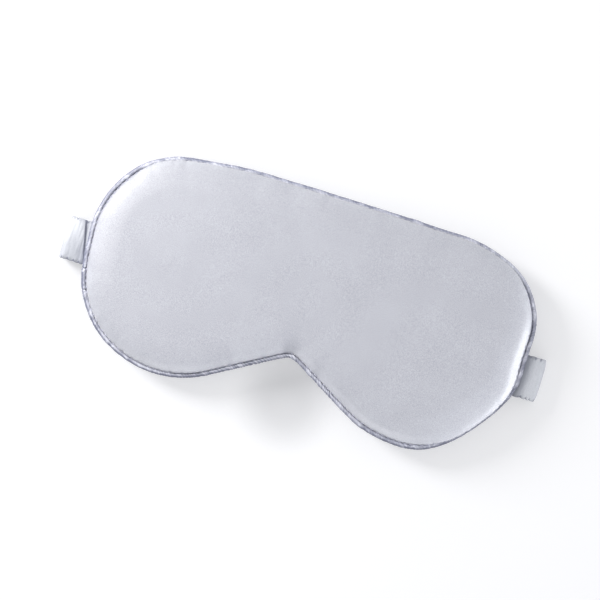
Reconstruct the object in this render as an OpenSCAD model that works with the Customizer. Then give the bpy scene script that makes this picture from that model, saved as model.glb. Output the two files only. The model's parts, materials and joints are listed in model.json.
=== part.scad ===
// Padded satin sleep mask with a piped edge and a ruched elastic strap.
// +X is the mask's right as seen from the front, +Y is up the mask, +Z is out of the front.
// The origin is under the middle of the mask, on the plane that the folded strap lies on.

/* [Mask] */
// Width over the piping, without the strap
mask_w = 210; // [200:1:220]
// Height over the piping
mask_h = 102; // [98:1:106]
// Radius of the two round lobes
lobe_r = 47.5; // [44:0.5:48.5]
// Radius of the nose notch's tip
nose_r = 6; // [4:0.5:10]
// Slope of the nose notch's two flanks, in degrees
flank_slope = 30; // [25:1:35]

/* [Padding] */
// How far the padding raises the front panel
front_bulge = 6; // [4:0.5:8]
// How far the padding raises the back panel
back_bulge = 3; // [2:0.5:3]
// Width of the padding's rounded border
dome_w = 17; // [12:1:20]
// Extra rise from the border to the middle of each lobe
crown = 0.5; // [0:0.1:0.5]

/* [Fabric] */
// Thickness of the satin panels
satin_t = 0.4; // [0.3:0.1:0.5]
// Thickness of the blackout lining
lining_t = 0.3; // [0.2:0.1:0.4]
// Diameter of the piping over its cover
piping_d = 2.4; // [2.2:0.1:2.6]
// Thickness of the bias strip that covers the piping cord
bias_t = 0.2; // [0.1:0.05:0.2]
// Distance from the mask's edge to the raw edge of the seam
seam_allow = 8; // [6:1:10]

/* [Stitches] */
// Length of one visible stitch
stitch_len = 1.8; // [1.5:0.1:2]
// Distance from one stitch to the next
stitch_pitch = 3; // [2.8:0.1:4]
// Thickness of the sewing thread
thread_d = 0.3; // [0.2:0.05:0.35]

/* [Strap] */
// Width of the ruched strap
strap_w = 20; // [19:1:24]
// Thickness of the ruched strap
strap_t = 2.6; // [2.4:0.1:3]
// Width of the elastic band in the strap
elastic_w = 17; // [14:1:17]
// Thickness of the elastic band
elastic_t = 1.4; // [1:0.1:1.4]
// Height of the strap's middle line below the middle of the mask
strap_drop = 3; // [0:1:6]
// How far the strap stands out at the right before it turns back
stub_right = 8.5; // [7:0.5:12]
// How far the strap stands out at the left before it turns back
stub_left = 10.5; // [7:0.5:12]

/* [Hidden] */
$fn = 64;

right = 1;
left = -1;

// Outline: each lobe is two arcs, and each flank runs tangent to the lobe and to the nose tip
lobe_x = mask_w / 2 - lobe_r;
lobe_dy = mask_h / 2 - lobe_r;
flank_a = 90 - flank_slope;
flank_reach = lobe_x * cos(flank_a) - lobe_dy * sin(flank_a) - lobe_r;
nose_y = (flank_reach - nose_r) / sin(flank_a);
arc_step = 7.5;
fold_x = 0.1;

// Seam: the piping at the edge, a ditch that holds the stitches, then the domed panels
layer_gap = 0.05;
piping_r = piping_d / 2;
ditch_w = 0.6;
seam_in = piping_d + ditch_w;
stitch_in = piping_d + ditch_w / 2;
dome_n = 5;
flange_h = 0.225;
wrap_n = 12;
cord_n = 10;

// Strap levels: the lower limb lies on z = 0, and the sewn end is the same limb turned over
turn_gap = 0.7;
turn_z = strap_t + turn_gap / 2;
turn_r = turn_z;
turn_mid_r = turn_z - strap_t / 2;
strap_z = strap_t / 2;
end_z = 2 * turn_z - strap_z;
through = 1;
casing_t = 0.5;
cavity_gap = 0.1;
cavity_t = elastic_t + 2 * cavity_gap;
cavity_w = strap_w - 2 * casing_t;
crimp_t = 0.9;
crimp_out = 0.6;
bend_gap = 1.2;
end_gap = 0.5;
bend_outer_share = 0.64;
bend_inner_share = 0.28;
tack_in = 1.4;
tack_pitch = 2.2;

// Heights of the layers, from the back of the mask to its front
seam_z = 2 * turn_z + 2 * layer_gap + piping_r;
front_z = seam_z + flange_h + layer_gap;
lining_z = seam_z - flange_h - layer_gap - lining_t;
back_z = lining_z - layer_gap;

satin = [0.80, 0.81, 0.87];
bias_satin = [0.70, 0.71, 0.80];
wadding = [0.95, 0.95, 0.93];
blackout = [0.13, 0.13, 0.16];
cotton = [0.93, 0.92, 0.88];
thread = [0.66, 0.67, 0.76];

function steps(angle) = ceil(angle / arc_step);
function arc(centre, r, from, to, n) = [
    for (i = [0:n])
        let(a = from + (to - from) * i / n)
        centre + r * [cos(a), sin(a)]
];

// Right half of the outline, inset by d: nose tip, flank, both arcs of the lobe, top edge
function outline(d) = concat(
    arc([0, nose_y], nose_r + d, acos(fold_x / (nose_r + d)), flank_a, steps(flank_slope)),
    arc([lobe_x, -lobe_dy], lobe_r - d, flank_a - 180, 0, steps(180 - flank_a)),
    arc([lobe_x, lobe_dy], lobe_r - d, 0, 90, steps(90)),
    [[fold_x, mask_h / 2 - d]]
);
function outline_at(d, z) = [for (p = outline(d)) [p.x, p.y, z]];

// Faces of a sheet of points that is made of rings, each ring holding m points
m = len(outline(0));
function flip(faces) = [for (f = faces) [for (i = [len(f) - 1:-1:0]) f[i]]];
function strips(first, rings) = [
    for (k = [0:rings - 2], i = [0:m - 2])
        let(a = first + k * m + i, b = a + m)
        each [[a, b, b + 1], [a, b + 1, a + 1]]
];
function ring_fan(first, hub) = [for (i = [0:m - 1]) [first + i, hub, first + (i + 1) % m]];
function top_ends(first, rings) = [for (k = [0:rings - 1]) first + k * m + m - 1];
function nose_ends(first, rings) = [for (k = [rings - 1:-1:0]) first + k * m];
function ring_ends(first, rings) = concat(top_ends(first, rings), nose_ends(first, rings));
function band(a, b) = [for (i = [0:len(a) - 2]) [a[i], a[i + 1], b[i + 1], b[i]]];
function ring(first) = [for (i = [0:m - 1]) first + i];

// Points of a dome whose border is a quarter ellipse, shrunk by t all round
function dome_points(bulge, t) = concat(
    [
        for (k = [0:dome_n])
            let(a = 90 * k / dome_n)
            each outline_at(seam_in + dome_w - (dome_w - t) * cos(a), (bulge - t) * sin(a))
    ],
    [[lobe_x, 0, bulge - t + crown]]
);

// One panel: a domed sheet of satin
module dome_sheet(bulge) {
    outside = dome_points(bulge, 0);
    inside = dome_points(bulge, satin_t);
    rings = dome_n + 1;
    o = len(outside);
    top = concat(strips(0, rings), ring_fan(dome_n * m, rings * m));
    under = concat(strips(o, rings), ring_fan(o + dome_n * m, o + rings * m));
    polyhedron(
        points = concat(outside, inside),
        faces = concat(
            top,
            flip(under),
            band(ring(0), ring(o)),
            band(ring_ends(0, rings), ring_ends(o, rings))
        )
    );
}

// The padding under one panel: the same dome, filled down to its flat side
module dome_fill(bulge) {
    rings = dome_n + 1;
    points = dome_points(bulge, satin_t + layer_gap);
    polyhedron(
        points = concat(points, [[lobe_x, 0, 0]]),
        faces = concat(
            strips(0, rings),
            ring_fan(dome_n * m, rings * m),
            flip(ring_fan(0, len(points))),
            [ring_ends(0, rings)]
        )
    );
}

// The bias strip round the cord: from one raw edge, over the cord and back to the other
function wrap(r, h) = concat(
    [[seam_allow, h]],
    arc([piping_r, 0], r, asin(h / r), 360 - asin(h / r), wrap_n),
    [[seam_allow, -h]]
);
function swept(section) = [for (s = section) each outline_at(s.x, s.y)];

module piping_sleeve() {
    outside = wrap(piping_r, flange_h);
    inside = wrap(piping_r - bias_t, flange_h - bias_t);
    rings = len(outside);
    o = rings * m;
    last = (rings - 1) * m;
    polyhedron(
        points = concat(swept(outside), swept(inside)),
        faces = flip(concat(
            strips(0, rings),
            flip(strips(o, rings)),
            band(ring(0), ring(o)),
            flip(band(ring(last), ring(o + last))),
            band(top_ends(0, rings), top_ends(o, rings)),
            band(nose_ends(0, rings), nose_ends(o, rings))
        ))
    );
}

module mirrored(side) mirror([side == left ? 1 : 0, 0, 0]) children();

module front_panel(side)
    color(satin) mirrored(side) translate([0, 0, front_z]) dome_sheet(front_bulge);

module front_wadding(side)
    color(wadding) mirrored(side) translate([0, 0, front_z]) dome_fill(front_bulge);

module blackout_lining(side)
    color(blackout) mirrored(side) translate([0, 0, lining_z])
        linear_extrude(lining_t) polygon(outline(seam_in));

module back_wadding(side)
    color(wadding) mirrored(side) translate([0, 0, back_z]) mirror([0, 0, 1]) dome_fill(back_bulge);

module back_panel(side)
    color(satin) mirrored(side) translate([0, 0, back_z]) mirror([0, 0, 1]) dome_sheet(back_bulge);

module piping_cover(side)
    color(bias_satin) mirrored(side) translate([0, 0, seam_z]) piping_sleeve();

module piping_cord(side) {
    r = piping_r - bias_t - 2 * layer_gap;
    section = arc([piping_r, 0], r, 0, 360 * (cord_n - 1) / cord_n, cord_n - 1);
    sides = [
        for (k = [0:cord_n - 1], i = [0:m - 2])
            let(a = k * m + i, b = (k + 1) % cord_n * m + i)
            each [[a, b, b + 1], [a, b + 1, a + 1]]
    ];
    color(cotton) mirrored(side) translate([0, 0, seam_z])
        polyhedron(
            points = swept(section),
            faces = flip(concat(sides, [nose_ends(0, cord_n)], [top_ends(0, cord_n)]))
        );
}

module stitch(length) rotate([0, 90, 0]) cylinder(h = length, d = thread_d, center = true, $fn = 6);

// Stitches in the ditch along every straight side of the outline that has room for one
module edge_stitches(side) {
    path = outline(stitch_in);
    z = seam_z + flange_h + layer_gap + thread_d / 2;
    color(thread) mirrored(side)
        for (i = [0:len(path) - 2])
            let(run = path[i + 1] - path[i], count = round(norm(run) / stitch_pitch))
                if (norm(run) > stitch_pitch)
                    for (k = [0:count - 1])
                        let(at = path[i] + run * (k + 0.5) / count)
                            translate([at.x, at.y, z])
                                rotate([0, 0, atan2(run.y, run.x)]) stitch(stitch_len);
}

// Distance from the middle to the line about which the strap turns back
function turn_x(side) = mask_w / 2 + (side == right ? stub_right : stub_left) - turn_r;

// A flat stretch of strap from x0 to x1, with its middle line at height z
module flat_band(x0, x1, z, w, t)
    translate([x0, -strap_drop - w / 2, z - t / 2]) cube([x1 - x0, w, t]);

module casing_tube(x0, x1, z) difference() {
    flat_band(x0, x1, z, strap_w, strap_t);
    flat_band(x0 - through, x1 + through, z, cavity_w, cavity_t);
}

// Half a ring in the XZ plane, for the part of the strap that turns back
module turned_band(r, w, t)
    translate([0, -strap_drop + w / 2, turn_z])
        rotate([90, 0, 0])
            linear_extrude(w) difference() {
                circle(r + t / 2);
                circle(r - t / 2);
                translate([-2 * r, -2 * r]) square([2 * r, 4 * r]);
            }

module strap_end_casing(side) {
    x0 = mask_w / 2 - seam_in + 2 * layer_gap;
    x1 = mask_w / 2 + crimp_out;
    color(satin) mirrored(side) {
        casing_tube(x1, turn_x(side) - layer_gap, end_z);
        flat_band(x0, x1, 2 * turn_z - crimp_t / 2, strap_w, crimp_t);
    }
}

module strap_end_elastic(side)
    color(cotton) mirrored(side)
        flat_band(mask_w / 2 + crimp_out + cavity_gap, turn_x(side) - layer_gap, end_z,
            elastic_w, elastic_t);

module strap_tack_stitches(side) {
    count = floor((strap_w - stitch_len) / tack_pitch);
    color(thread) mirrored(side)
        for (k = [0:count])
            translate([
                mask_w / 2 - tack_in,
                -strap_drop + (k - count / 2) * tack_pitch,
                2 * turn_z - crimp_t - layer_gap - thread_d / 2
            ])
                rotate([0, 0, 90]) stitch(stitch_len);
}

module strap_turn_casing(side)
    color(satin) mirrored(side) translate([turn_x(side), 0, 0]) difference() {
        turned_band(turn_mid_r, strap_w, strap_t);
        turned_band(turn_mid_r, cavity_w, cavity_t);
    }

module strap_turn_elastic(side)
    color(cotton) mirrored(side) translate([turn_x(side), 0, 0])
        turned_band(turn_mid_r, elastic_w, elastic_t);

// Ends of the three flat lengths behind the mask, with room at each bend
function outer_span(side) = [
    turn_x(side) * bend_outer_share + bend_gap / 2,
    turn_x(side) - 2 * layer_gap
];
function middle_span(side) = [
    turn_x(side) * bend_inner_share + bend_gap / 2,
    turn_x(side) * bend_outer_share - bend_gap / 2
];
function inner_span(side) = [end_gap, turn_x(side) * bend_inner_share - bend_gap / 2];

module strap_casing(side, span) color(satin) mirrored(side) casing_tube(span[0], span[1], strap_z);

module strap_elastic(side, span)
    color(cotton) mirrored(side) flat_band(span[0], span[1], strap_z, elastic_w, elastic_t);

front_panel(right);  // front_panel_right
front_panel(left);  // front_panel_left
front_wadding(right);  // front_wadding_right
front_wadding(left);  // front_wadding_left
blackout_lining(right);  // blackout_lining_right
blackout_lining(left);  // blackout_lining_left
back_wadding(right);  // back_wadding_right
back_wadding(left);  // back_wadding_left
back_panel(right);  // back_panel_right
back_panel(left);  // back_panel_left
piping_cover(right);  // piping_cover_right
piping_cover(left);  // piping_cover_left
piping_cord(right);  // piping_cord_right
piping_cord(left);  // piping_cord_left
edge_stitches(right);  // edge_stitches_right
edge_stitches(left);  // edge_stitches_left
strap_end_casing(right);  // strap_end_casing_right
strap_end_casing(left);  // strap_end_casing_left
strap_end_elastic(right);  // strap_end_elastic_right
strap_end_elastic(left);  // strap_end_elastic_left
strap_tack_stitches(right);  // strap_tack_stitches_right
strap_tack_stitches(left);  // strap_tack_stitches_left
strap_turn_casing(right);  // strap_turn_casing_right
strap_turn_casing(left);  // strap_turn_casing_left
strap_turn_elastic(right);  // strap_turn_elastic_right
strap_turn_elastic(left);  // strap_turn_elastic_left
strap_casing(right, outer_span(right));  // strap_outer_casing_right
strap_casing(left, outer_span(left));  // strap_outer_casing_left
strap_elastic(right, outer_span(right));  // strap_outer_elastic_right
strap_elastic(left, outer_span(left));  // strap_outer_elastic_left
strap_casing(right, middle_span(right));  // strap_middle_casing_right
strap_casing(left, middle_span(left));  // strap_middle_casing_left
strap_elastic(right, middle_span(right));  // strap_middle_elastic_right
strap_elastic(left, middle_span(left));  // strap_middle_elastic_left
strap_casing(right, inner_span(right));  // strap_inner_casing_right
strap_casing(left, inner_span(left));  // strap_inner_casing_left
strap_elastic(right, inner_span(right));  // strap_inner_elastic_right
strap_elastic(left, inner_span(left));  // strap_inner_elastic_left
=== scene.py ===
"""Looks of a padded satin sleep mask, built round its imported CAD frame. Lengths are in metres."""

import json
import math

import bpy
import numpy as np
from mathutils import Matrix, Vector
from mathutils.geometry import delaunay_2d_cdt


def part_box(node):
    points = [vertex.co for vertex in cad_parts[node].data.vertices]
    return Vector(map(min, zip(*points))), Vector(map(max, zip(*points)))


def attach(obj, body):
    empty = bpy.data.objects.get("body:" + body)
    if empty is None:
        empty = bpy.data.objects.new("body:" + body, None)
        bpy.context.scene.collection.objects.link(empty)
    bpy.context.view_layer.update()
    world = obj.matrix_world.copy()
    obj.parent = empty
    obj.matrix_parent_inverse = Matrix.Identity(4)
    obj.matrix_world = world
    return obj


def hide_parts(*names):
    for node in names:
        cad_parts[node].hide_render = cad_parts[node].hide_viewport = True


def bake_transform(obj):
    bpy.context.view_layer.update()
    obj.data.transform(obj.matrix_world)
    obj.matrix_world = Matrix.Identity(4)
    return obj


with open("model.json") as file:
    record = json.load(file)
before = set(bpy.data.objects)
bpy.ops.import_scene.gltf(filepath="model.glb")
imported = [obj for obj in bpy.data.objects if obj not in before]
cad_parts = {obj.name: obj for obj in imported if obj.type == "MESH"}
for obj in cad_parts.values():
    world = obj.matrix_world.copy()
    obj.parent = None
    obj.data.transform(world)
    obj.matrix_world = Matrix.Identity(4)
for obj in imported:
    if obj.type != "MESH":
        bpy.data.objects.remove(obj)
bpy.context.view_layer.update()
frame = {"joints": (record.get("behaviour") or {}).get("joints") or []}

MM = 0.001
TAU = 2 * math.pi
SIDES = {"right": 1, "left": -1}

# ---------------------------------------------------------------- sizes read from the frame

PIPE_LOW, PIPE_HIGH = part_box("piping_cover_right")
HALF_W = PIPE_HIGH.x
HALF_H = PIPE_HIGH.y
SEAM_Z = (PIPE_LOW.z + PIPE_HIGH.z) / 2
PIPE_R = (PIPE_HIGH.z - PIPE_LOW.z) / 2
FRONT_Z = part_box("front_panel_right")[1].z
BACK_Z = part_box("back_panel_right")[0].z
LINING_LOW, LINING_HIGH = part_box("blackout_lining_right")
JOINTS = {j["name"]: j for j in frame["joints"]}

# the outline, as the frame's CAD source draws it
LOBE_R = 47.5 * MM
NOSE_R = 6 * MM
FLANK_A = math.radians(60)
LOBE_X = HALF_W - LOBE_R
LOBE_DY = HALF_H - LOBE_R
FLANK_REACH = LOBE_X * math.cos(FLANK_A) - LOBE_DY * math.sin(FLANK_A) - LOBE_R
NOSE_Y = (FLANK_REACH - NOSE_R) / math.sin(FLANK_A)

# how the mask is padded
COVER_R = 0.78 * PIPE_R
DITCH = 2 * COVER_R + 0.2 * MM
LAP = 10 * MM
BORDER = 18 * MM
BACK_BORDER = 15 * MM
SATIN_T = 0.35 * MM
PANEL_START = DITCH - 0.25 * MM
PAD_START = DITCH + 1.2 * MM
FRONT_GATHER = 0.34 * MM
BACK_GATHER = 0.4 * MM


# ---------------------------------------------------------------- smooth noise

def lattice_noise(u, v, seed, wrap=None):
    """Smooth noise from -1 to 1 on a unit lattice. It repeats along u after wrap cells."""
    u, v = np.broadcast_arrays(np.asarray(u, float), np.asarray(v, float))
    cells = 4096 if wrap is None else wrap
    grid = np.random.RandomState(seed).uniform(-1, 1, (cells, 64))
    iu, iv = np.floor(u).astype(int), np.floor(v).astype(int)
    fu, fv = u - iu, v - iv
    fu, fv = fu * fu * (3 - 2 * fu), fv * fv * (3 - 2 * fv)
    a, b = iu % cells, (iu + 1) % cells
    c, d = iv % 64, (iv + 1) % 64
    low = grid[a, c] * (1 - fu) + grid[b, c] * fu
    high = grid[a, d] * (1 - fu) + grid[b, d] * fu
    return low * (1 - fv) + high * fv


def along_noise(s, pitch, seed, length):
    """Noise along the closed seam, with one lattice cell about every pitch metres."""
    cells = max(4, round(length / pitch))
    return lattice_noise(s / length * cells, 0 * s, seed, cells)


def smooth(x):
    x = np.clip(x, 0, 1)
    return x * x * (3 - 2 * x)


def bump(x, centre, width):
    return np.exp(-((x - centre) / width) ** 2)


# ---------------------------------------------------------------- the seam line

def arc_run(cx, cy, r, a0, a1, outward):
    a = np.linspace(math.radians(a0), math.radians(a1), 240, endpoint=False)
    d = np.stack([np.cos(a), np.sin(a)], 1)
    return np.array([cx, cy]) + r * d, outward * d


def line_run(p, q):
    t = np.linspace(0, 1, 240, endpoint=False)[:, None]
    p, q = np.array(p), np.array(q)
    along = (q - p) / np.linalg.norm(q - p)
    normal = np.array([along[1], -along[0]])
    return p + t * (q - p), np.tile(normal, (240, 1))


def on_lobe(side, degrees):
    """A place on the outline's lobe arc, counted from the mask's long axis."""
    a = math.radians(degrees)
    rise = LOBE_DY if degrees > 0 else -LOBE_DY
    return np.array([side * (LOBE_X + LOBE_R * math.cos(a)), rise + LOBE_R * math.sin(a)])


def on_flank(side, reach):
    """A place on the nose flank, counted from the nose tip."""
    run = reach * math.sin(FLANK_A)
    return np.array([side * run, NOSE_Y + NOSE_R - reach * math.cos(FLANK_A)])


# A sewn edge isn't true: at each place the seam lies this far out, over this reach.
SEAM_PULLS = (
    (on_lobe(1, -37), -3.5 * MM, 24 * MM),
    (on_lobe(1, 43), 2.5 * MM, 17 * MM),
    (on_lobe(1, 4), -1.5 * MM, 12 * MM),
    (on_lobe(1, 22), 0.8 * MM, 12 * MM),
    (on_lobe(1, 88), -0.7 * MM, 30 * MM),
    (on_lobe(-1, -5), -1.2 * MM, 16 * MM),
    (on_lobe(-1, 83), -1.9 * MM, 15 * MM),
    (on_lobe(-1, 45), 0.4 * MM, 12 * MM),
    (on_flank(-1, 13), -2.4 * MM, 13 * MM),
    (on_flank(1, 4), 1.6 * MM, 9 * MM),
    (on_flank(1, 24), 1.7 * MM, 15 * MM),
    (on_lobe(1, -100), -0.8 * MM, 14 * MM),
)


def pulled(points, normals):
    shift = np.zeros(len(points))
    for place, out, reach in SEAM_PULLS:
        away = np.linalg.norm(points - place, axis=1)
        shift += out * np.exp(-((away / reach) ** 2))
    return points + shift[:, None] * normals


def seam_curve(pitch):
    """The outline, anticlockwise from the nose tip: points, outward normals and arc lengths."""
    flank = math.degrees(FLANK_A)
    c, s = math.cos(FLANK_A), math.sin(FLANK_A)
    nose_foot = (NOSE_R * c, NOSE_Y + NOSE_R * s)
    lobe_foot = (LOBE_X - LOBE_R * c, -LOBE_DY - LOBE_R * s)
    runs = [
        arc_run(0, NOSE_Y, NOSE_R, 90, flank, -1),
        line_run(nose_foot, lobe_foot),
        arc_run(LOBE_X, -LOBE_DY, LOBE_R, flank - 180, 0, 1),
        line_run((HALF_W, -LOBE_DY), (HALF_W, LOBE_DY)),
        arc_run(LOBE_X, LOBE_DY, LOBE_R, 0, 90, 1),
        line_run((LOBE_X, HALF_H), (-LOBE_X, HALF_H)),
        arc_run(-LOBE_X, LOBE_DY, LOBE_R, 90, 180, 1),
        line_run((-HALF_W, LOBE_DY), (-HALF_W, -LOBE_DY)),
        arc_run(-LOBE_X, -LOBE_DY, LOBE_R, 180, 360 - flank, 1),
        line_run((-lobe_foot[0], lobe_foot[1]), (-nose_foot[0], nose_foot[1])),
        arc_run(0, NOSE_Y, NOSE_R, 180 - flank, 90, -1),
    ]
    points = pulled(np.vstack([r[0] for r in runs]), np.vstack([r[1] for r in runs]))
    closed = np.vstack([points, points[:1]])
    s = np.concatenate([[0], np.cumsum(np.linalg.norm(np.diff(closed, axis=0), axis=1))])
    length = s[-1]
    n = round(length / pitch)
    at = np.arange(n) * length / n
    place = np.stack([np.interp(at, s, closed[:, k]) for k in (0, 1)], 1)
    reach = round(1.5 * MM / pitch) + 1
    along = np.roll(place, -reach, 0) - np.roll(place, reach, 0)
    along /= np.linalg.norm(along, axis=1)[:, None]
    return place, np.stack([along[:, 1], -along[:, 0]], 1), at, length


SEAM_PITCH = 1.1 * MM
FINE_SEAM_PITCH = 0.25 * MM
SEAM_P, SEAM_N, SEAM_S, SEAM_L = seam_curve(SEAM_PITCH)


def nearest_on_seam(xy):
    """Each point's distance inside the outline and the arc length of the nearest seam point."""
    inset, along = np.empty(len(xy)), np.empty(len(xy))
    for start in range(0, len(xy), 2000):
        part = xy[start:start + 2000]
        away = np.linalg.norm(part[:, None] - SEAM_P[None], axis=2)
        k = away.argmin(1)
        inside = ((SEAM_P[k] - part) * SEAM_N[k]).sum(1) > 0
        inset[start:start + 2000] = np.where(inside, away.min(1), -away.min(1))
        along[start:start + 2000] = SEAM_S[k]
    return inset, along


# ---------------------------------------------------------------- mesh helpers

def new_mesh(name, points, faces, material, smooth_shade=True, painted_shade=None):
    mesh = bpy.data.meshes.new(name)
    mesh.from_pydata([tuple(p) for p in points], [], [tuple(f) for f in faces])
    mesh.validate()
    mesh.polygons.foreach_set("use_smooth", [smooth_shade] * len(mesh.polygons))
    mesh.materials.append(material)
    if painted_shade is not None:
        # the attribute holds painted shade and highlight, which the satin materials turn into darker
        # colour
        layer_data = mesh.attributes.new("painted_shade", "FLOAT", "POINT")
        layer_data.data.foreach_set("value", np.clip(np.ravel(painted_shade), 0, 1).astype(np.float32))
    obj = bpy.data.objects.new(name, mesh)
    bpy.context.scene.collection.objects.link(obj)
    return obj


def thicken(obj, thickness, offset):
    solid = obj.modifiers.new("thickness", "SOLIDIFY")
    solid.thickness = thickness
    solid.offset = offset


def tube_faces(rings, around, closed):
    """Faces of a tube of rings, each with the same number of points; closed joins its two ends."""
    k = np.arange(rings if closed else rings - 1)[:, None]
    i = np.arange(around)[None]
    a = k * around + i
    b = k * around + (i + 1) % around
    c = (k + 1) % rings * around + (i + 1) % around
    d = (k + 1) % rings * around + i
    faces = np.stack([a, b, c, d], 2).reshape(-1, 4).tolist()
    if not closed:
        faces.append(list(range(around))[::-1])
        faces.append(list(range((rings - 1) * around, rings * around)))
    return faces


# ---------------------------------------------------------------- the net that every layer uses

class Net:
    """A flat net of the mask inside one inset: rings along the edge, triangles in the middle."""

    def __init__(self, insets, grid):
        n = len(SEAM_P)
        rings = [SEAM_P - d * SEAM_N for d in insets]
        last = rings[-1]
        x = np.arange(-HALF_W, HALF_W, grid)
        y = np.arange(-HALF_H, HALF_H, grid * math.sqrt(0.75))
        gx, gy = np.meshgrid(x, y)
        gx = gx + (np.arange(len(y)) % 2)[:, None] * grid / 2
        inner = np.stack([gx.ravel(), gy.ravel()], 1)
        inset, _ = nearest_on_seam(inner)
        inner = inner[inset > insets[-1] + 0.6 * grid]
        corners = [Vector(p) for p in np.vstack([last, inner])]
        made = delaunay_2d_cdt(corners, [], [list(range(n))], 1, 1e-7)
        place = {}
        for k, origin in enumerate(made[3]):
            place[k] = origin[0]
        base = (len(rings) - 1) * n
        self.faces = [[base + place[v] for v in f] for f in made[2]]
        for k in range(len(rings) - 1):
            for i in range(n):
                j = (i + 1) % n
                self.faces.append([k * n + i, k * n + j, (k + 1) * n + j, (k + 1) * n + i])
        self.xy = np.vstack(rings[:-1] + [last, inner])
        deep, along = nearest_on_seam(inner)
        self.inset = np.concatenate([np.repeat(insets, n), deep])
        self.along = np.concatenate([np.tile(SEAM_S, len(rings)), along])
        self.edge = n

    def sheet(self, name, xy, z, material, painted_shade):
        return new_mesh(name, np.column_stack([xy, z]), self.faces, material, painted_shade=painted_shade)

    def pad(self, name, top, bottom, material):
        """A closed pad between two sheets."""
        count = len(self.xy)
        points = np.vstack([np.column_stack([self.xy, top]), np.column_stack([self.xy, bottom])])
        faces = list(self.faces) + [[v + count for v in f][::-1] for f in self.faces]
        for i in range(self.edge):
            j = (i + 1) % self.edge
            faces.append([j, i, i + count, j + count])
        return new_mesh(name, points, faces, material)


def border_insets(start, steps):
    return [start + d * MM for d in steps]


FINE_STEPS = (0, 0.25, 0.6, 1.1, 1.7, 2.4, 3.2, 4.1, 5.1, 6.2, 7.4)
COARSE_STEPS = (0, 0.6, 1.6, 3.0, 5.0, 7.5)


def dome(inset, start, width, power=0.4):
    """Rise of the padding from 0 at the seam to 1 on the flat top."""
    u = np.clip((inset - start) / width, 0, 1)
    return (1 - (1 - u) ** 2.4) ** power


def cover_share(xy):
    """How far the puffed edge leans over the piping, in metres, near each place."""
    top = smooth((xy[:, 1] - 30 * MM) / (12 * MM))
    away = np.linalg.norm(xy - on_lobe(1, -37), axis=1)
    low = np.exp(-((away / (26 * MM)) ** 4))
    flank = np.exp(-((np.linalg.norm(xy - on_flank(1, 28), axis=1) / (26 * MM)) ** 4))
    return (0.35 + 0.5 * flank + 1.3 * top + 1.15 * low) * MM


STITCHES = round(SEAM_L / (2.8 * MM))


def between_stitches(along):
    """From 0 at each stitch of the seam to 1 halfway to the next one."""
    return np.abs(np.sin(math.pi * along / SEAM_L * STITCHES))


def eased(along):
    """How much the panel bunches up between its stitches: not at all on the nose flanks."""
    nose = np.exp(-((np.minimum(along, SEAM_L - along) / (36 * MM)) ** 4))
    patchy = 0.65 + 0.45 * along_noise(along, 9 * MM, 41, SEAM_L)
    return (1 - 0.85 * nose) * patchy


def lean_out(net, start):
    """The net's places with its edge pushed out over the piping."""
    d = net.inset - start
    share = smooth(d / (1.1 * MM)) * (1 - smooth((d - 1.1 * MM) / (9 * MM)))
    bulge = 0.75 * MM * (between_stitches(net.along) - 0.55) * eased(net.along)
    local = smooth(d / (0.6 * MM)) * np.exp(-((d / (2.2 * MM)) ** 2))
    normal = seam_normal(net.along)
    return net.xy + (cover_share(net.xy) * share + bulge * local)[:, None] * normal


def seam_normal(along):
    """The seam's outward normals at the given arc lengths."""
    k = np.round(along / SEAM_L * len(SEAM_N)).astype(int) % len(SEAM_N)
    return SEAM_N[k]


def crown(xy):
    """Slight extra rise of each lobe's middle."""
    away = np.hypot(np.abs(xy[:, 0]) - 0.9 * LOBE_X, xy[:, 1])
    return np.clip(1 - (away / (1.15 * LOBE_R)) ** 2, 0, 1)


def drift(xy, seed, pitch):
    """Slow unevenness of the padding."""
    return lattice_noise(xy[:, 0] / pitch + 40, xy[:, 1] / pitch + 20, seed)


def pucker(net, start, seed, reach, depth):
    """Small gathers that run in from the seam, strongest by the nose notch."""
    s, d = net.along, net.inset - start
    near_nose = bump(np.minimum(s, SEAM_L - s), 0, 30 * MM)
    fine = along_noise(s, 2.1 * MM, seed, SEAM_L)
    broad = along_noise(s, 5.5 * MM, seed + 1, SEAM_L)
    strength = 0.35 + 0.9 * near_nose + 0.35 * along_noise(s, 40 * MM, seed + 2, SEAM_L)
    fade = np.exp(-(d / reach) ** 1.3) * smooth(d / (0.6 * MM) + 0.2)
    fade_broad = np.exp(-(d / (2.6 * reach)) ** 1.3) * smooth(d / (1.5 * MM))
    tucks = 0.45 * (between_stitches(s) - 0.6) * eased(s) * fade
    return depth * (strength * (fine * fade + 0.9 * broad * fade_broad) + tucks)


def seam_shadow(net, start, gathers, depth):
    """Painted shade on the sheet: along its seam, at each stitch, and in the hollows of its gathers,
    lighter on their humps.
    """
    d = net.inset - start
    stitch = (1 - between_stitches(net.along)) ** 0.7 * np.exp(-((d / (0.7 * MM)) ** 2))
    tight = 1 - 0.8 * np.exp(-(((net.along - 40 * MM) / (45 * MM)) ** 4))
    return tight * (0.9 * np.exp(-d / (0.3 * MM)) + 0.6 * stitch) - 0.35 * gathers / depth


# ---------------------------------------------------------------- materials

def node_material(name):
    material = bpy.data.materials.new(name)
    material.use_nodes = True
    tree = material.node_tree
    return material, tree.nodes, tree.links, tree.nodes["Principled BSDF"]


def add(nodes, kind, **values):
    node = nodes.new(kind)
    for key, value in values.items():
        if key in node.inputs:
            node.inputs[key].default_value = value
        else:
            setattr(node, key, value)
    return node


def stretched(nodes, links, scale, angle):
    """Object coordinates turned about Z and scaled, in cells per metre."""
    coords = nodes.new("ShaderNodeTexCoord")
    mapping = nodes.new("ShaderNodeMapping")
    mapping.inputs["Rotation"].default_value = (0, 0, math.radians(angle))
    mapping.inputs["Scale"].default_value = scale
    links.new(coords.outputs["Object"], mapping.inputs["Vector"])
    return mapping.outputs["Vector"]


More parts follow.
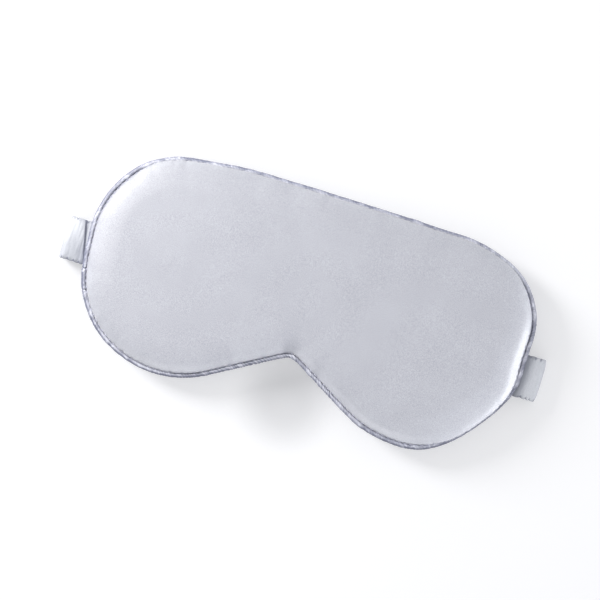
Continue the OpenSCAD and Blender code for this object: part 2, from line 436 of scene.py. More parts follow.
def noise(nodes, links, cells, angle, detail, roughness):
    """A noise value with the given number of cells per metre along each axis."""
    node = add(nodes, "ShaderNodeTexNoise", Scale=1.0, Detail=detail, Roughness=roughness)
    links.new(stretched(nodes, links, cells, angle), node.inputs["Vector"])
    return node.outputs["Fac"]


def mixed(nodes, links, share, first, second):
    """A value between two others, with the given share of the second."""
    node = add(nodes, "ShaderNodeMix", data_type="FLOAT")
    node.inputs[0].default_value = share
    links.new(first, node.inputs[2])
    links.new(second, node.inputs[3])
    return node.outputs[0]


def two_tone(nodes, links, value, low, deep, high, colour):
    """The colour deep where the value is at low, turning to colour at high."""
    ramp = nodes.new("ShaderNodeValToRGB")
    for element, position, tone in zip(ramp.color_ramp.elements, (low, high), (deep, colour)):
        element.position = position
        element.color = (*tone, 1)
    links.new(value, ramp.inputs["Fac"])
    return ramp.outputs["Color"]


def tinted(nodes, links, share, colour, tint):
    """The colour multiplied by the tint, by the given share."""
    node = add(nodes, "ShaderNodeMix", data_type="RGBA", blend_type="MULTIPLY")
    node.inputs[7].default_value = (*tint, 1)
    links.new(share, node.inputs[0])
    links.new(colour, node.inputs[6])
    return node.outputs[2]


def embossed(nodes, links, shader, height, strength, depth):
    relief = add(nodes, "ShaderNodeBump", Strength=strength, Distance=depth)
    links.new(height, relief.inputs["Height"])
    links.new(relief.outputs["Normal"], shader.inputs["Normal"])


def satin_weave(nodes, links, shader, strength):
    """Relief of the cloth: long floats of thread, and faint slanting rows."""
    floats = noise(nodes, links, (3600, 700, 2000), 35, 1.0, 0.5)
    rows = add(nodes, "ShaderNodeTexWave", Scale=1.0, Distortion=1.2, Detail=1.0)
    links.new(stretched(nodes, links, (520, 520, 520), -20), rows.inputs["Vector"])
    height = mixed(nodes, links, 0.3, floats, rows.outputs["Fac"])
    embossed(nodes, links, shader, height, strength, 0.12 * MM)


def satin(name, colour, deep, roughness, weave, sheen=0.35, turn=0.0):
    """Silk satin: a soft sheen, faint cloudy colour, painted shade towards grazing angles by the
    share turn, and painted shade where the mesh's per-point shade attribute is high.
    """
    material, nodes, links, shader = node_material(name)
    clouds = noise(nodes, links, (60, 60, 60), 0, 4.0, 0.6)
    speck = noise(nodes, links, (5000, 3400, 3400), 17, 1.0, 0.6)
    grain = mixed(nodes, links, 0.87, clouds, speck)
    base = two_tone(nodes, links, grain, 0.30, deep, 0.70, colour)
    # painted shade: the colour darkens towards grazing angles, by the share turn
    facing = add(nodes, "ShaderNodeLayerWeight", Blend=0.35)
    grazing_shade = (1 - turn, 1 - turn, 1 - 0.85 * turn)
    base = tinted(nodes, links, facing.outputs["Facing"], base, grazing_shade)
    # painted shade and highlight: the per-point attribute filled by the mesh builders darkens the
    # colour
    painted_shade_node = nodes.new("ShaderNodeAttribute")
    painted_shade_node.attribute_name = "painted_shade"
    base = tinted(nodes, links, painted_shade_node.outputs["Fac"], base, (0.24, 0.25, 0.31))
    links.new(base, shader.inputs["Base Color"])
    satin_weave(nodes, links, shader, weave)

    gloss = add(nodes, "ShaderNodeMapRange")
    gloss.inputs["To Min"].default_value = roughness - 0.06
    gloss.inputs["To Max"].default_value = roughness + 0.06
    links.new(speck, gloss.inputs["Value"])
    links.new(gloss.outputs["Result"], shader.inputs["Roughness"])
    shader.inputs["Sheen Weight"].default_value = sheen
    shader.inputs["Sheen Roughness"].default_value = 0.45
    shader.inputs["Specular IOR Level"].default_value = 0.5
    return material


def fibre(name, colour, deep, cells, strength, roughness=0.95):
    """Matt fibres: wadding, lining, cord, elastic and thread."""
    material, nodes, links, shader = node_material(name)
    grain = noise(nodes, links, cells, 0, 5.0, 0.65)
    base = two_tone(nodes, links, grain, 0.35, deep, 0.65, colour)
    links.new(base, shader.inputs["Base Color"])
    embossed(nodes, links, shader, grain, strength, 0.2 * MM)
    shader.inputs["Roughness"].default_value = roughness
    shader.inputs["Sheen Weight"].default_value = 0.2
    return material


PANEL_SATIN = satin("panel_satin", (0.40, 0.406, 0.442), (0.232, 0.237, 0.266), 0.42, 0.35)
PIPING_SATIN = satin("piping_satin", (0.66, 0.67, 0.74), (0.52, 0.53, 0.60), 0.30, 0.3, 0.05, 0.6)
STRAP_SATIN = satin("strap_satin", (0.53, 0.545, 0.58), (0.41, 0.425, 0.46), 0.42, 0.35, 0.3, 0.3)
WADDING = fibre("wadding", (0.9, 0.9, 0.88), (0.75, 0.75, 0.73), (900, 900, 900), 0.9)
BLACKOUT = fibre("blackout", (0.03, 0.03, 0.038), (0.012, 0.012, 0.016), (2500, 900, 900), 0.5)
COTTON = fibre("cotton", (0.84, 0.82, 0.77), (0.7, 0.68, 0.62), (1500, 1500, 1500), 0.6)
ELASTIC = fibre("elastic", (0.86, 0.85, 0.82), (0.6, 0.59, 0.56), (400, 3000, 400), 0.7)
THREAD = fibre("thread", (0.56, 0.57, 0.68), (0.42, 0.43, 0.54), (4000, 4000, 4000), 0.5, 0.55)


# ---------------------------------------------------------------- soft layers of the mask

def layer(obj, slot, *nodes):
    """A soft layer stands for its two CAD halves, which are hidden."""
    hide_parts(*[f"{n}_{side}" for n in nodes for side in SIDES])
    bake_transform(obj)


# the cloth simulation runs enlarged, because the solver is tuned for garments
SIM_SCALE = 20
SIM_FRAMES = 16
SIM_PRESSURE = 3.0
SIM_SLACK = 0.07
SIM_REACH = 0.25 * MM


def add_cloth(obj, pressure):
    """A cloth modifier held by the group named held, with slack by the group named ease."""
    cloth = obj.modifiers.new("cloth", "CLOTH")
    settings = cloth.settings
    settings.quality = 5
    settings.vertex_group_mass = "held"
    settings.bending_stiffness = 0.15
    settings.use_pressure = True
    settings.uniform_pressure_force = pressure
    settings.shrink_min = 0.0
    settings.shrink_max = -SIM_SLACK
    settings.vertex_group_shrink = "ease"
    settings.effector_weights.gravity = 0
    cloth.point_cache.frame_end = SIM_FRAMES


def settle(obj, net, start, pressure):
    """Cloth simulation: the fabric, cut a little too large, gathers between its seam and its pad."""
    count = len(net.xy)
    rest = np.empty(count * 3)
    obj.data.vertices.foreach_get("co", rest)
    obj.data.vertices.foreach_set("co", rest * SIM_SCALE)
    d = net.inset - start
    held = np.where(d < 0.1 * MM, 1, 0.03 + 0.5 * smooth((d - 3 * MM) / (16 * MM)))
    ease = np.exp(-((d / (7 * MM)) ** 2))
    for name, weights in (("held", held), ("ease", ease)):
        group = obj.vertex_groups.new(name=name)
        for k, w in enumerate(weights.tolist()):
            group.add([k], w, "REPLACE")
    add_cloth(obj, pressure)
    for frame_number in range(1, SIM_FRAMES + 1):
        bpy.context.scene.frame_set(frame_number)
    graph = bpy.context.evaluated_depsgraph_get()
    moved = np.empty(count * 3)
    obj.evaluated_get(graph).data.vertices.foreach_get("co", moved)
    obj.modifiers.clear()
    obj.vertex_groups.clear()
    bpy.context.scene.frame_set(1)
    step = (moved / SIM_SCALE - rest).reshape(-1, 3)
    length = np.linalg.norm(step, axis=1)[:, None]
    step *= np.minimum(1, SIM_REACH / np.maximum(length, 1e-9))
    obj.data.vertices.foreach_set("co", rest + step.ravel())


def front_height(net, start):
    rise = FRONT_Z - SEAM_Z - 0.5 * MM
    away = np.linalg.norm(net.xy - on_lobe(1, -45), axis=1)
    slack = np.exp(-((away / (40 * MM)) ** 4))
    z = rise * dome(net.inset, start, BORDER + 7 * MM * slack, 0.4 + 0.28 * slack)
    z += 0.5 * MM * crown(net.xy)
    z += 0.35 * MM * drift(net.xy, 3, 34 * MM) * smooth((net.inset - start) / (14 * MM))
    return z


def build_front_panel():
    start = PANEL_START
    net = Net(border_insets(start, FINE_STEPS), 1.7 * MM)
    gathers = pucker(net, start, 11, 2.6 * MM, FRONT_GATHER)
    z = SEAM_Z - 0.2 * MM + front_height(net, start) + gathers
    painted_shade = seam_shadow(net, start, gathers, FRONT_GATHER)
    panel = net.sheet("front_panel", lean_out(net, start), z, PANEL_SATIN, painted_shade)
    settle(panel, net, start, SIM_PRESSURE)
    thicken(panel, SATIN_T, -1)
    layer(panel, "satin", "front_panel")


def build_back_panel():
    start = PANEL_START
    net = Net(border_insets(start, FINE_STEPS), 2.0 * MM)
    drop = SEAM_Z - BACK_Z - 0.35 * MM
    z = SEAM_Z + 0.15 * MM - drop * dome(net.inset, start, BACK_BORDER)
    z -= 0.25 * MM * drift(net.xy, 9, 22 * MM) * smooth((net.inset - start) / (10 * MM))
    gathers = pucker(net, start, 21, 3 * MM, BACK_GATHER)
    z = np.maximum(z - gathers, BACK_Z)
    painted_shade = seam_shadow(net, start, gathers, BACK_GATHER)
    panel = net.sheet("back_panel", net.xy, z, PANEL_SATIN, painted_shade)
    settle(panel, net, start, -SIM_PRESSURE)
    panel.data.flip_normals()
    thicken(panel, SATIN_T, -1)
    layer(panel, "satin", "back_panel")


def build_padding():
    net = Net(border_insets(PAD_START, COARSE_STEPS), 3.5 * MM)
    flat = np.zeros(len(net.xy))
    low = SEAM_Z + 0.3 * MM
    top = SEAM_Z - 0.95 * MM + front_height(net, DITCH)
    front = net.pad("front_wadding", np.maximum(top, low + 0.1 * MM), flat + low, WADDING)
    layer(front, "wadding", "front_wadding")
    drop = SEAM_Z - BACK_Z - 1.6 * MM
    high = LINING_LOW.z - 0.1 * MM
    bottom = high - 0.1 * MM - (drop - SEAM_Z + high) * dome(net.inset, DITCH, BACK_BORDER)
    back = net.pad("back_wadding", flat + high, bottom, WADDING)
    layer(back, "wadding", "back_wadding")
    sheet = net.pad("blackout_lining", flat + LINING_HIGH.z, flat + LINING_LOW.z, BLACKOUT)
    layer(sheet, "blackout", "blackout_lining")


# ---------------------------------------------------------------- piping and stitches

def swept(name, curve, section_inset, section_z, closed_section, material, painted_shade=None):
    """Sweeps a section along the seam: arrays of inset and height, one row per seam point."""
    points, normals = curve[0], curve[1]
    rings, around = section_inset.shape
    xy = points[:, None] - section_inset[..., None] * normals[:, None]
    co = np.concatenate([xy, section_z[..., None]], 2).reshape(-1, 3)
    if closed_section:
        faces = tube_faces(rings, around, True)
    else:
        k, i = np.arange(rings)[:, None], np.arange(around - 1)[None]
        n = (k + 1) % rings
        corners = [k * around + i, k * around + i + 1, n * around + i + 1, n * around + i]
        faces = np.stack(corners, 2).reshape(-1, 4).tolist()
    return new_mesh(name, co, faces, material, painted_shade=painted_shade)


def piping_relief(s, angle):
    """The covered cord's surface, gathered in slanting ribs and crinkled, with its painted shade in
    the rib and fold hollows and on its outer side, painted glints, and painted light on the better
    lit stretches.
    """
    nose = np.exp(-((np.minimum(s, SEAM_L - s) / (42 * MM)) ** 4))
    slant = s - 0.75 * MM * angle
    count = round(SEAM_L / (1.45 * MM))
    sway = 0.8 * along_noise(s, 4 * MM, 35, SEAM_L)
    rib = 1 - 2 * np.abs(np.sin(math.pi * (slant / SEAM_L * count + sway)))
    patchy = 0.55 + 0.45 * along_noise(s, 6 * MM, 36, SEAM_L)
    folds = along_noise(s - 0.6 * MM * angle, 2.4 * MM, 32, SEAM_L)
    crinkle = lattice_noise(s / (1.1 * MM), 1.9 * angle + 7, 37)
    swell = along_noise(s, 15 * MM, 33, SEAM_L)
    relief = (0.07 + 0.12 * nose) * rib * patchy + (0.09 + 0.04 * nose) * folds + 0.08 * crinkle
    # painted shade in the hollows of the ribs and folds
    cover_shade = (-0.15 - 0.3 * nose) * rib * patchy - 0.28 * folds
    glint = 0.38 * smooth((crinkle - 0.3) / 0.4)
    upper, lower = bump(s, 178 * MM, 25 * MM), bump(s, 465 * MM, 50 * MM)
    # painted shade on the cord's outer, lower side
    outer = smooth((np.degrees(angle) - 85) / 35) * (0.4 - 0.35 * upper + 0.4 * lower)
    lit = 0.1 + 0.2 * nose + 0.15 * upper + 0.15 * lower
    over = smooth(0.5 + 1.5 * np.sin(angle))
    return COVER_R * (1 + relief + 0.05 * swell), 0.6 - lit + over * (cover_shade - glint + outer)


def piping_core(curve):
    """The cord's middle line: how far inside the outline it runs, and how far below the seam."""
    away = np.linalg.norm(curve[0] - on_lobe(1, -37), axis=1)[:, None]
    tuck = np.exp(-((away / (26 * MM)) ** 4))
    wobble = 0.12 * MM * along_noise(curve[2][:, None], 12 * MM, 34, curve[3])
    return COVER_R + 0.9 * MM * tuck + wobble, 0.35 * MM * tuck


def build_piping_cover(curve, core, drop):
    """The satin strip round the cord, with its two edges in the seam and its ends lapped."""
    s = curve[2][:, None]
    lap = seam_place(curve, -HALF_W, -15 * MM)
    angle = np.radians(np.linspace(12, 348, 19))[None]
    r, cover_shade = piping_relief(s, angle)
    lapped = smooth((s - lap) / (0.5 * MM)) * smooth((lap + LAP - s) / (0.5 * MM))
    step = bump(s, lap, 0.4 * MM) + bump(s, lap + LAP, 0.35 * MM)
    r = r + COVER_R * (0.14 * lapped - 0.3 * step)
    # painted shade at the lap's two edges
    cover_shade = cover_shade + 0.9 * step
    outer_edge = np.full_like(s, 8 * MM)
    inner_edge = outer_edge - 4.8 * MM
    high = np.full_like(s, SEAM_Z + 0.14 * MM)
    low = np.full_like(s, SEAM_Z - 0.14 * MM)
    # painted shade over both flat edges that lie in the seam
    dark = np.full_like(s, 1.0)
    round_inset = core + r * np.cos(angle)
    round_z = SEAM_Z - drop + r * np.sin(angle)
    inset = np.hstack([outer_edge, inner_edge, round_inset, inner_edge, outer_edge])
    z = np.hstack([high, high, round_z, low, low])
    painted_shade = np.hstack([dark, dark, cover_shade, dark, dark])
    cover = swept("piping_cover", curve, inset, z, False, PIPING_SATIN, painted_shade)
    cover.data.flip_normals()
    thicken(cover, 0.2 * MM, -1)
    layer(cover, "piping_satin", "piping_cover")


def build_piping_cord(curve, core, drop):
    """The twisted cotton cord inside the cover."""
    s = curve[2][:, None]
    angle = np.radians(np.arange(0, 360, 20))[None]
    ply = 0.78 * COVER_R * (0.85 + 0.1 * np.abs(np.cos(1.5 * angle - s / (1.6 * MM))))
    inset = core + ply * np.cos(angle)
    z = SEAM_Z - drop + ply * np.sin(angle)
    cord = swept("piping_cord", curve, inset, z, True, COTTON)
    cord.data.flip_normals()
    layer(cord, "cord", "piping_cord")


def build_piping():
    curve = seam_curve(FINE_SEAM_PITCH)
    core, drop = piping_core(curve)
    build_piping_cover(curve, core, drop)
    build_piping_cord(curve, core, drop)


def seam_place(curve, x, y):
    """Arc length of the seam point nearest to (x, y)."""
    return curve[2][np.linalg.norm(curve[0] - np.array([x, y]), axis=1).argmin()]


def thread_stitch(points, radius):
    """A six-sided thread through the points, with pinched ends: its points and faces."""
    points = np.asarray(points)
    n = len(points)
    along = np.gradient(points, axis=0)
    along /= np.linalg.norm(along, axis=1)[:, None]
    side = np.cross(along, [0.3, 0.2, 0.93])
    side /= np.linalg.norm(side, axis=1)[:, None]
    other = np.cross(side, along)
    a = np.arange(6) * TAU / 6
    size = radius * np.where((np.arange(n) == 0) | (np.arange(n) == n - 1), 0.5, 1)
    ring = np.cos(a)[None, :, None] * side[:, None] + np.sin(a)[None, :, None] * other[:, None]
    co = points[:, None] + size[:, None, None] * ring
    return co.reshape(-1, 3), tube_faces(n, 6, False)


def joined(name, parts, material):
    points, faces, first = [], [], 0
    for co, part_faces in parts:
        points.append(co)
        faces += [[v + first for v in f] for f in part_faces]
        first += len(co)
    return new_mesh(name, np.vstack(points), faces, material)


def build_edge_stitches():
    """One short thread for each stitch, in the ditch beside the piping."""
    curve = seam_curve(FINE_SEAM_PITCH)
    total = len(curve[0])
    rng = np.random.RandomState(5)
    parts = []
    for k in range(STITCHES):
        middle = k * total / STITCHES + rng.uniform(-0.6, 0.6)
        reach = 0.3 * total / STITCHES
        span = np.round(middle + np.linspace(-reach, reach, 7)).astype(int) % total
        inset = DITCH - 0.02 * MM + rng.uniform(-0.04, 0.04) * MM
        xy = curve[0][span] - inset * curve[1][span]
        z = SEAM_Z + (0.3 + 0.75 * np.sin(np.linspace(0, math.pi, 7)) ** 0.6) * MM
        parts.append(thread_stitch(np.column_stack([xy, z]), 0.15 * MM))
    stitches = joined("edge_stitches", parts, THREAD)
    layer(stitches, "thread", "edge_stitches")


# ---------------------------------------------------------------- strap

STRAP_T = 2.0 * MM
CRIMP_T = 0.8 * MM
FINE_PITCH, RING_PITCH = 0.2 * MM, 0.36 * MM
SCALLOP = 2.8 * MM
STRAP_FINE_RUN = 19 * MM
# the elastic begins at this ring, past the flat sewn end and the crease
ELASTIC_FROM = 35


def strap_line(side):
    """Middle line of the strap in the XZ plane, from the seam round its fold to the far end."""
    low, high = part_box(f"strap_end_casing_{side}")
    start = low.x if side == "right" else -high.x
    turn_low, turn_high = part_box(f"strap_turn_casing_{side}")
    edge = turn_high.x if side == "right" else -turn_low.x
    outer_r = (turn_high.z - turn_low.z) / 2
    r = outer_r - STRAP_T / 2
    centre = np.array([edge - outer_r, outer_r])
    a = np.radians(np.arange(90, -90.1, -5))
    turn = centre + r * np.stack([np.cos(a), np.sin(a)], 1)
    sewn_z = high.z - CRIMP_T / 2
    sewn = [[start, sewn_z], [start + 1.5 * MM, sewn_z]]
    raised = [[start + 3.5 * MM, centre[1] + r]]
    far_end = [[0.0, centre[1] - r]]
    line = np.vstack([sewn, raised, turn, far_end])
    s = np.concatenate([[0], np.cumsum(np.linalg.norm(np.diff(line, axis=0), axis=1))])
    fine = np.arange(0, STRAP_FINE_RUN, FINE_PITCH)
    at = np.concatenate([fine, np.linspace(fine[-1] + RING_PITCH, s[-1], int(s[-1] / RING_PITCH))])
    xz = np.stack([np.interp(at, s, line[:, 0]), np.interp(at, s, line[:, 1])], 1)
    for _ in range(6):
        xz[1:-1] = (xz[:-2] + 2 * xz[1:-1] + xz[2:]) / 4
    tangent = np.gradient(xz, axis=0)
    tangent /= np.linalg.norm(tangent, axis=1)[:, None]
    normal = np.stack([-tangent[:, 1], tangent[:, 0]], 1)
    return xz, normal, at, centre


def strap_section(n_flat):
    """Across the strap: share of half the width, share of half the thickness, and the side."""
    y = np.sin(np.linspace(-math.pi / 2, math.pi / 2, n_flat))
    thick = 0.14 + 0.86 * (1 - np.abs(y) ** 3.2) ** 0.6
    over = np.stack([y, thick, np.ones(n_flat)], 1)
    under = np.stack([y[::-1], -thick[::-1], -np.ones(n_flat)], 1)
    return np.vstack([over, under])


def strap_crease(y):
    """Where the left strap is creased by its seam: how far along it, for each place across it."""
    return 5.4 * MM + 2.5 * MM * (y - 0.9)


def strap_fill(side, s, y):
    """How full the strap is: flat where it is sewn in, and full from there or from its crease."""
    if side == "right":
        return smooth(s / (3.5 * MM))
    return smooth((s - strap_crease(y)) / (0.5 * MM) + 0.5)


def sewn_shadow(side, s, y):
    """Painted shade where the strap leaves the seam, and at and past the left strap's creased fold,
    deepening there towards the strap's lower edge.
    """
    if side == "right":
        return 0.5 * (1 - smooth((s - 1.5 * MM) / (5 * MM))) + 0.08 * y
    past = (s - strap_crease(y)) / MM
    low = smooth(0.5 - y)
    painted_shade = 0.7 * np.exp(-((past / 0.45) ** 2)) + 0.5 * (1 - smooth(past + 0.5))
    beyond = (0.42 + 0.3 * low) * np.exp(-np.maximum(past, 0) / 2.2) * smooth(past + 0.5)
    return painted_shade + beyond + 0.04 + 0.28 * low * smooth(past)


def scallop_wave(s, y, seed):
    """Phase of the gathered scallops along the strap's two long edges."""
    jitter = 0.5 * lattice_noise(s / (5 * MM), np.sign(y) * 3 + 30, seed + 2)
    return math.pi * (s / SCALLOP + jitter)


def cusp_share(s, y, seed):
    """From 0 on a scallop's round to 1 in the nick between two scallops."""
    return 1 - np.abs(np.sin(scallop_wave(s, y, seed))) ** 0.5


def build_strap(side):
    sign = SIDES[side]
    xz, normal, s, centre = strap_line(side)
    low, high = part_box(f"strap_outer_casing_{side}")
    mid_y, half_w = (low.y + high.y) / 2, (high.y - low.y) / 2
    seed = 60 if side == "right" else 80
    section = strap_section(25)
    y, t, over = section[:, 0][None], section[:, 1][None], section[:, 2][None]
    s = s[:, None]
    fill = strap_fill(side, s, y)
    half_t = (CRIMP_T + (STRAP_T - CRIMP_T) * fill) / 2 - 0.1 * MM

    layer_place = over * 100
    folds = lattice_noise(s / (1.7 * MM) + layer_place, y * 0.9 + 9, seed)
    fine = lattice_noise(s / (0.75 * MM) + layer_place, y * 2.1 + 17, seed + 1)
    puff = np.abs(folds) ** 0.8 - 0.4 + 0.35 * fine
    rear = smooth((s - 18 * MM) / (6 * MM))
    gather = (0.12 + 0.16 * rear) * MM * fill
    # painted shade along both long edges, deepest in the nicks between scallops, and in the folds of
    # the gathers, lighter on their puffs
    ends = smooth((np.abs(y) - 0.86) / 0.1) * (0.1 + 1.2 * cusp_share(s, y, seed))
    painted_shade = sewn_shadow(side, s, y) + ends - 0.25 * puff * (0.4 + 0.6 * rear)

    wave = scallop_wave(s, y, seed)
    cusp = cusp_share(s, y, seed)
    uneven = 0.8 + 0.4 * lattice_noise(s / (3 * MM), np.sign(y) * 3 + 70, seed + 5)
    half = half_w + 0.1 * MM - (1.0 - 0.3 * rear) * uneven * MM * cusp
    sway = 0.25 * MM * lattice_noise(s / (14 * MM), 0 * s + 50, seed + 4)
    across = mid_y + sway + y * half
    rim = smooth((np.abs(y) - 0.72) / 0.28)
    lift = (0.34 - 0.1 * rear) * uneven * MM * np.cos(2 * wave + 1.1) * rim * fill
    away = t * half_t + over * gather * puff * (1 - np.abs(y) ** 8) + lift
    x = xz[:, 0][:, None] + normal[:, 0][:, None] * away
    z = xz[:, 1][:, None] + normal[:, 1][:, None] * away
    z = np.maximum(z, 0.02 * MM)
    co = np.stack([sign * x, across + 0 * x, z], 2)
    cut_lengths(side, xz, co, painted_shade, normal, centre, half_w, mid_y)


def cut_lengths(side, xz, co, painted_shade, normal, centre, half_w, mid_y):
    """Cuts the strap into three lengths, between the places of its joints, and fits the elastic in
    each.
    """
    sign = SIDES[side]
    swing, bend_a, bend_b = (
        abs(JOINTS[f"{side}_strap_{n}"]["pos_m"][0]) for n in ("swing", "outer_bend", "inner_bend")
    )
    after_turn = xz[:, 1] < centre[1]
    cut_a = int(np.argmax(after_turn & (xz[:, 0] < (swing + bend_a) / 2)))
    cut_b = int(np.argmax(after_turn & (xz[:, 0] < (bend_a + bend_b) / 2)))
    last = len(xz) - 1
    reach = 13 * MM
    gap = 0.95 * MM
    half, outer, middle, inner = (
        f"{side}_half", f"{side}_strap_outer", f"{side}_strap_middle", f"{side}_strap_inner"
    )
    above = (sign * swing, 0, centre[1] + gap)
    below = (sign * swing, 0, centre[1] - gap)
    beyond_a, before_a = (sign * (bend_a + reach), 0, 0), (sign * (bend_a - reach), 0, 0)
    beyond_b, before_b = (sign * (bend_b + reach), 0, 0), (sign * (bend_b - reach), 0, 0)
    lengths = [
        ("end", 0, cut_a, half, outer, above, below, ["end", "turn"]),
        ("outer", cut_a, cut_b, outer, middle, beyond_a, before_a, ["outer"]),
        ("inner", cut_b, last, middle, inner, beyond_b, before_b, ["middle", "inner"]),
    ]
    band = elastic_band(sign, xz, normal, half_w, mid_y)
    for label, first, end, a, b, start, stop, stood in lengths:
        for kind, points, material, slot in (
            ("casing", co, STRAP_SATIN, "strap_satin"), ("elastic", band, ELASTIC, "elastic")
        ):
            begin = ELASTIC_FROM if kind == "elastic" and first == 0 else first
            part = points[begin:end + 1]
            faces = tube_faces(len(part), part.shape[1], False)
            if sign < 0:
                faces = [f[::-1] for f in faces]
            dark = painted_shade[begin:end + 1] if kind == "casing" else None
            name = f"strap_{label}_{kind}_{side}"
            piece = new_mesh(name, part.reshape(-1, 3), faces, material, painted_shade=dark)
            piece.data.set_sharp_from_angle(angle=math.radians(70))
            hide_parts(*[f"strap_{n}_{kind}_{side}" for n in stood])
            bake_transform(piece)


def elastic_band(sign, xz, normal, half_w, mid_y):
    """The woven elastic: a flat ribbed band along the casing's middle line."""
    n = 13
    y = np.linspace(-1, 1, n)
    ribs = 0.24 * MM + 0.04 * MM * np.cos(y * 6 * math.pi)
    over = np.stack([y * (half_w - 2 * MM), ribs], 1)
    under = np.stack([over[::-1, 0], -over[::-1, 1]], 1)
    section = np.vstack([over, under])
    x = xz[:, 0][:, None] + normal[:, 0][:, None] * section[None, :, 1]
    z = xz[:, 1][:, None] + normal[:, 1][:, None] * section[None, :, 1]
    return np.stack([sign * x, mid_y + 0 * x + section[None, :, 0], z], 2)


def build_tacks(side):
    """A zigzag bar tack at the strap's sewn end."""
    sign = SIDES[side]
    low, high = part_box(f"strap_tack_stitches_{side}")
    x, z = (low.x + high.x) / 2, high.z
    parts = []
    n = 12
    for k in range(n):
        y0 = low.y + (high.y - low.y) * k / n
        y1 = low.y + (high.y - low.y) * (k + 0.9) / n
        lean = 0.45 * MM * (1 if k % 2 else -1)
        t = np.linspace(0, 1, 6)
        points = np.stack([x + sign * lean * (2 * t - 1), y0 + (y1 - y0) * t,
                           z - 0.12 * MM * np.sin(t * math.pi)], 1)
        parts.append(thread_stitch(points, 0.14 * MM))
    tacks = joined(f"strap_tack_stitches_{side}", parts, THREAD)
    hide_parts(f"strap_tack_stitches_{side}")
    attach(tacks, f"{side}_half")


# ---------------------------------------------------------------- studio

# the camera looks straight down, turned by this much from the mask's long axis
ROLL = math.radians(17)
IMAGE_RIGHT = Vector((math.cos(ROLL), math.sin(ROLL), 0))
IMAGE_UP = Vector((-math.sin(ROLL), math.cos(ROLL), 0))
FRAME_WIDTH = 0.2739
FLOOR_HALF = 3.0
WARM, COOL, PALE, WHITE = (1, 0.985, 0.97), (0.97, 0.985, 1), (0.98, 0.99, 1), (1, 1, 1)

# name, place and target along the image's axes, size, watts, colour, and what it lights
LAMPS = (
    ("key", (-0.30, 0.22, 0.33), (-0.03, 0.01, 0), 0.30, 2.5, WARM, "fabric"),
    ("fill", (0.50, -0.14, 0.11), (0.03, 0, 0), 0.44, 1.4, COOL, "fabric"),
    ("side", (0.46, -0.25, 0.06), (0.03, 0, 0), 0.34, 3.7, COOL, "panels"),
    ("left", (-0.33, 0.37, 0.12), (-0.05, 0, 0), 0.5, 2.9, WHITE, "fabric"),
    ("front", (-0.16, -0.47, 0.08), (0, 0, 0), 0.40, 1.4, PALE, "panels"),
    ("low_sun", (-0.93, 0.65, 0.40), (0, 0, 0), 0.40, 14.0, WHITE, "table"),
)


def in_image(right, up, height):
    """A place given along the image's own axes."""
    return IMAGE_RIGHT * right + IMAGE_UP * up + Vector((0, 0, height))


def area_light(name, place, target, size, energy, colour, only, floor):
    """A round soft light that stands on the floor and lights only one collection."""
    light = bpy.data.lights.new(name, "AREA")
    light.shape = "DISK"
    light.size = size
    light.energy = energy
    light.color = colour
    obj = bpy.data.objects.new(name, light)
    obj.location = place
    obj.rotation_euler = (target - place).to_track_quat("-Z", "Y").to_euler()
    bpy.context.scene.collection.objects.link(obj)
    obj.parent = floor
    obj.light_linking.receiver_collection = only


def build_sky():
    """Studio surround: bright round the horizon and dimmer overhead."""
    world = bpy.data.worlds.new("studio")
    world.use_nodes = True
    nodes, links = world.node_tree.nodes, world.node_tree.links
    coords = nodes.new("ShaderNodeTexCoord")
    split = nodes.new("ShaderNodeSeparateXYZ")
    links.new(coords.outputs["Generated"], split.inputs[0])
    horizon, overhead = (0.95, 0.96, 0.985), (0.47, 0.475, 0.49)
    sky = two_tone(nodes, links, split.outputs["Z"], 0.1, horizon, 0.95, overhead)
    links.new(sky, nodes["Background"].inputs["Color"])
    nodes["Background"].inputs["Strength"].default_value = 1.0
    bpy.context.scene.world = world


def one_sided(nodes, links, shader):
    """Leaves the floor clear to a camera below it, so that the back can be seen."""
    side = nodes.new("ShaderNodeNewGeometry")
    ray = nodes.new("ShaderNodeLightPath")
    seen = add(nodes, "ShaderNodeMath", operation="MULTIPLY")
    links.new(side.outputs["Backfacing"], seen.inputs[0])
    links.new(ray.outputs["Is Camera Ray"], seen.inputs[1])
    clear = nodes.new("ShaderNodeBsdfTransparent")
    choice = nodes.new("ShaderNodeMixShader")
    links.new(seen.outputs[0], choice.inputs[0])
    links.new(shader.outputs[0], choice.inputs[1])
    links.new(clear.outputs[0], choice.inputs[2])
    links.new(choice.outputs[0], nodes["Material Output"].inputs["Surface"])


def table_glow(nodes, links):
    """Strength of the lit table: even, but with a painted shadow that dims it close to the nose
    notch.
    """
    spot = nodes.new("ShaderNodeNewGeometry")
    reach = add(nodes, "ShaderNodeVectorMath", operation="DISTANCE")
    reach.inputs[1].default_value = in_image(-10 * MM, -46 * MM, 0)
    links.new(spot.outputs["Position"], reach.inputs[0])
    glow = add(nodes, "ShaderNodeMapRange", interpolation_type="SMOOTHSTEP")
    glow.inputs["From Min"].default_value = 6 * MM
    glow.inputs["From Max"].default_value = 28 * MM
    glow.inputs["To Min"].default_value = 0.18
    glow.inputs["To Max"].default_value = 0.40
    links.new(reach.outputs["Value"], glow.inputs["Value"])
    return glow.outputs["Result"]


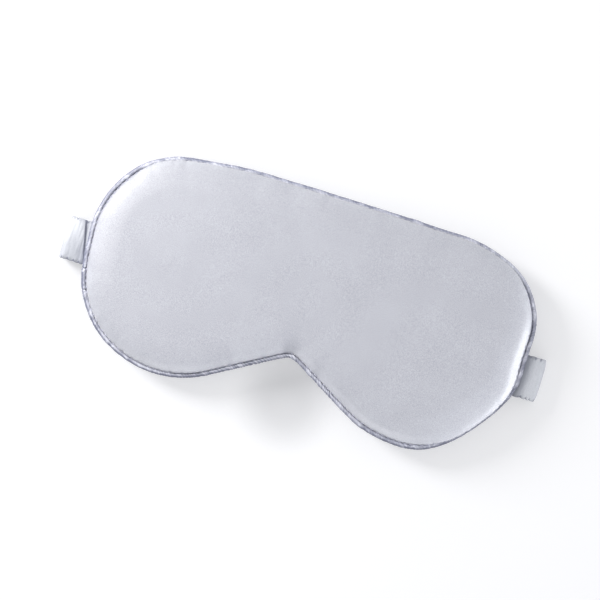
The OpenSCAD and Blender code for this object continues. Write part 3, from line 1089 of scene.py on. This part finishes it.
def stand_under(floor):
    """Lets the floor sink with the strap's lowest point as the mask folds. It never rises."""
    guide = bpy.data.objects.new("floor_guide", None)
    bpy.context.scene.collection.objects.link(guide)
    guide.location = (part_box("strap_outer_casing_left")[1].x + 3 * MM, 0, 0)
    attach(guide, "left_strap_outer")
    follow = floor.constraints.new("COPY_LOCATION")
    follow.target = guide
    follow.use_x = False
    follow.use_y = False
    stop = floor.constraints.new("LIMIT_LOCATION")
    stop.use_max_z = True
    stop.max_z = 0


def build_floor():
    """A plain pale table, lit from within. Its glow is kept out of the sampled lamps."""
    material, nodes, links, shader = node_material("floor")
    shader.inputs["Base Color"].default_value = (0.68, 0.68, 0.69, 1)
    shader.inputs["Emission Color"].default_value = (0.995, 0.995, 1.0, 1)
    links.new(table_glow(nodes, links), shader.inputs["Emission Strength"])
    shader.inputs["Roughness"].default_value = 0.9
    shader.inputs["Specular IOR Level"].default_value = 0.1
    one_sided(nodes, links, shader)
    material.cycles.emission_sampling = "NONE"
    r = FLOOR_HALF
    corners = [(-r, -r, 0), (r, -r, 0), (r, r, 0), (-r, r, 0)]
    floor = new_mesh("floor", corners, [(0, 1, 2, 3)], material, False)
    stand_under(floor)
    return floor


def build_camera():
    camera = bpy.data.cameras.new("camera")
    camera.lens = 100
    camera.sensor_width = 36
    camera.clip_start = 0.01
    distance = FRAME_WIDTH * camera.lens / camera.sensor_width
    eye = bpy.data.objects.new("camera", camera)
    eye.location = in_image(-3.2 * MM, 1.4 * MM, distance + SEAM_Z)
    eye.rotation_euler = (0, 0, ROLL)
    bpy.context.scene.collection.objects.link(eye)
    bpy.context.scene.camera = eye
    bpy.context.scene.view_settings.view_transform = "Standard"


def build_studio():
    """Floor, sky, lamps and camera. The collections only say which lamp lights what."""
    pieces = [obj for obj in bpy.context.scene.collection.objects if obj.type == "MESH"]
    floor = build_floor()
    build_sky()
    lit = {name: bpy.data.collections.new(name) for name in ("table", "fabric", "panels")}
    lit["table"].objects.link(floor)
    for piece in pieces:
        lit["fabric"].objects.link(piece)
        if "panel" in piece.name:
            lit["panels"].objects.link(piece)
    for name, place, target, size, watts, colour, only in LAMPS:
        area_light(name, in_image(*place), in_image(*target), size, watts, colour, lit[only], floor)
    build_camera()


build_front_panel()
build_back_panel()
build_padding()
build_piping()
build_edge_stitches()
for side_name in SIDES:
    build_strap(side_name)
    build_tacks(side_name)
build_studio()
